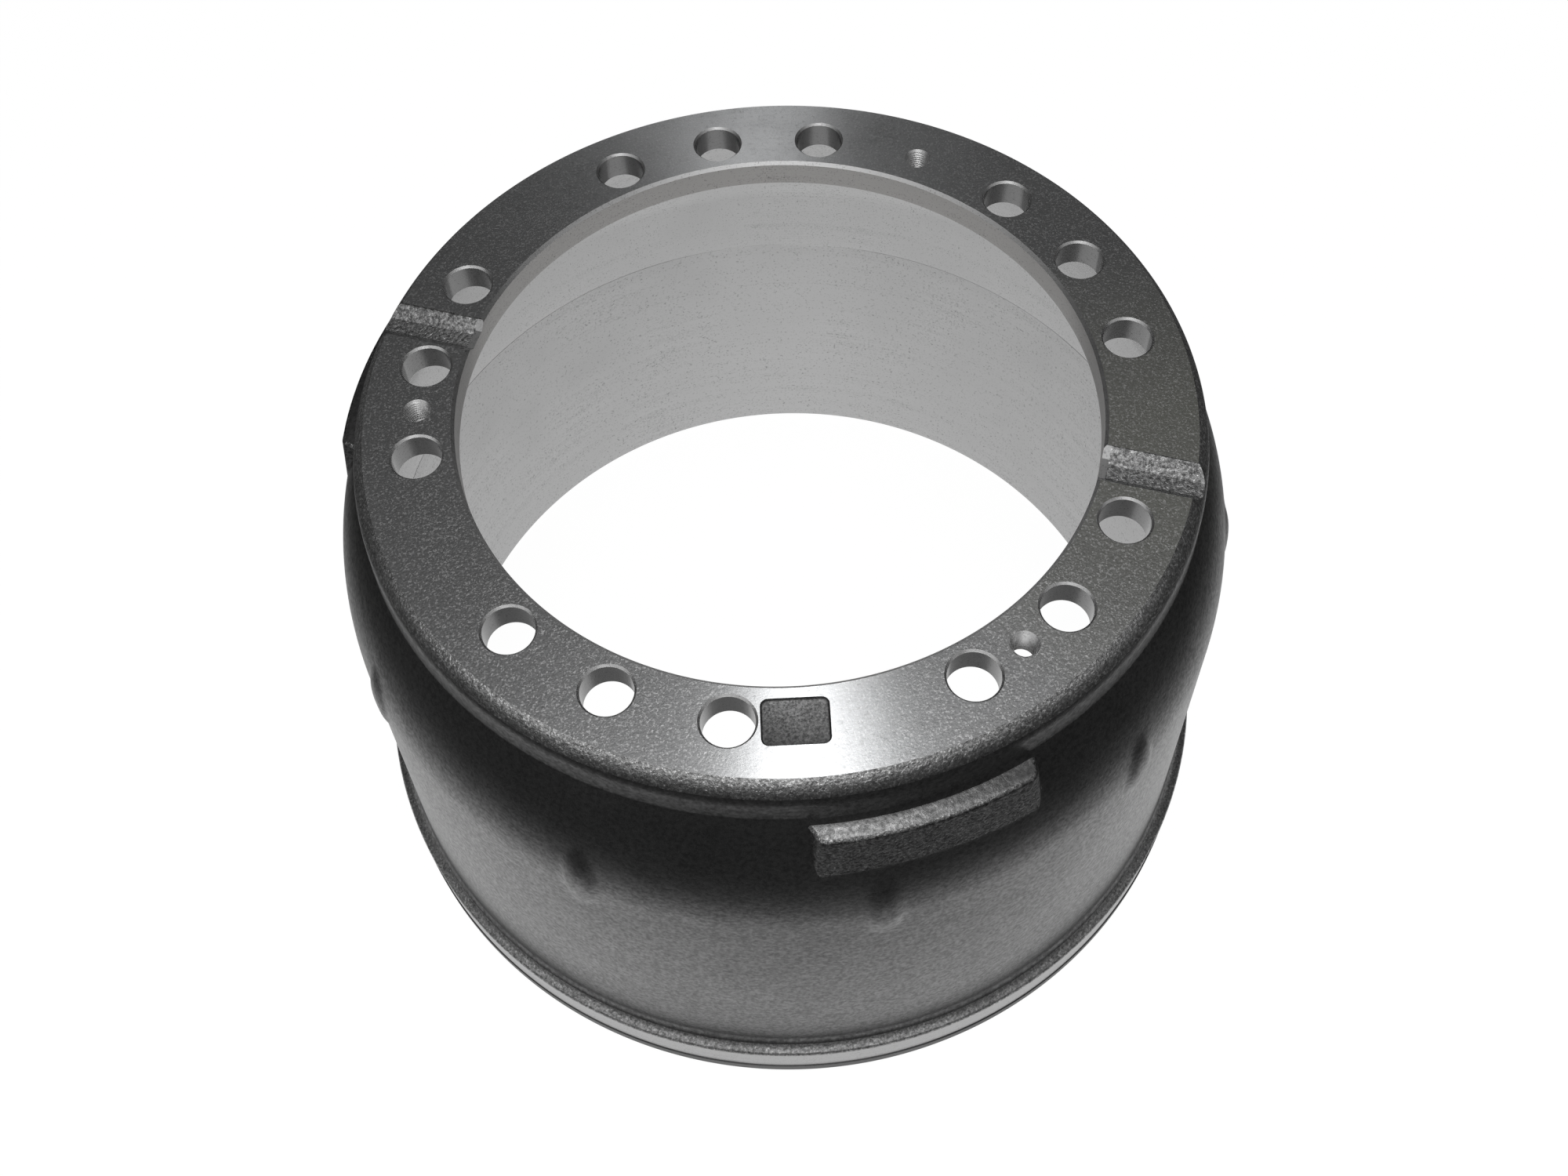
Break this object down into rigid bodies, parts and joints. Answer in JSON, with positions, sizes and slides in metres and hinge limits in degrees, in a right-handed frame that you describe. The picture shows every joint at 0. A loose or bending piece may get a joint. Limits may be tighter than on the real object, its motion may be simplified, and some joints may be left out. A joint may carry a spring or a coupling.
{
  "type": "brake drum",
  "caption": "Deep cast brake drum for a heavy vehicle, with a drilled machined mounting flange, flared shoulder, raised pads and a turned rim.",
  "frame": {"origin": "centre of the open mouth, where the drum stands", "axes": "+Z is the drum's axis, from the open mouth to the mounting face; +X runs through the centre of a stud hole"},
  "size_m": [0.4759, 0.476, 0.285],
  "materials": {
    "cast_iron": "rough dark cast outside, turned and bored grey faces"
  },
  "bodies": {
    "root": {"brake_drum": "cast_iron"}
  },
  "joints": []
}
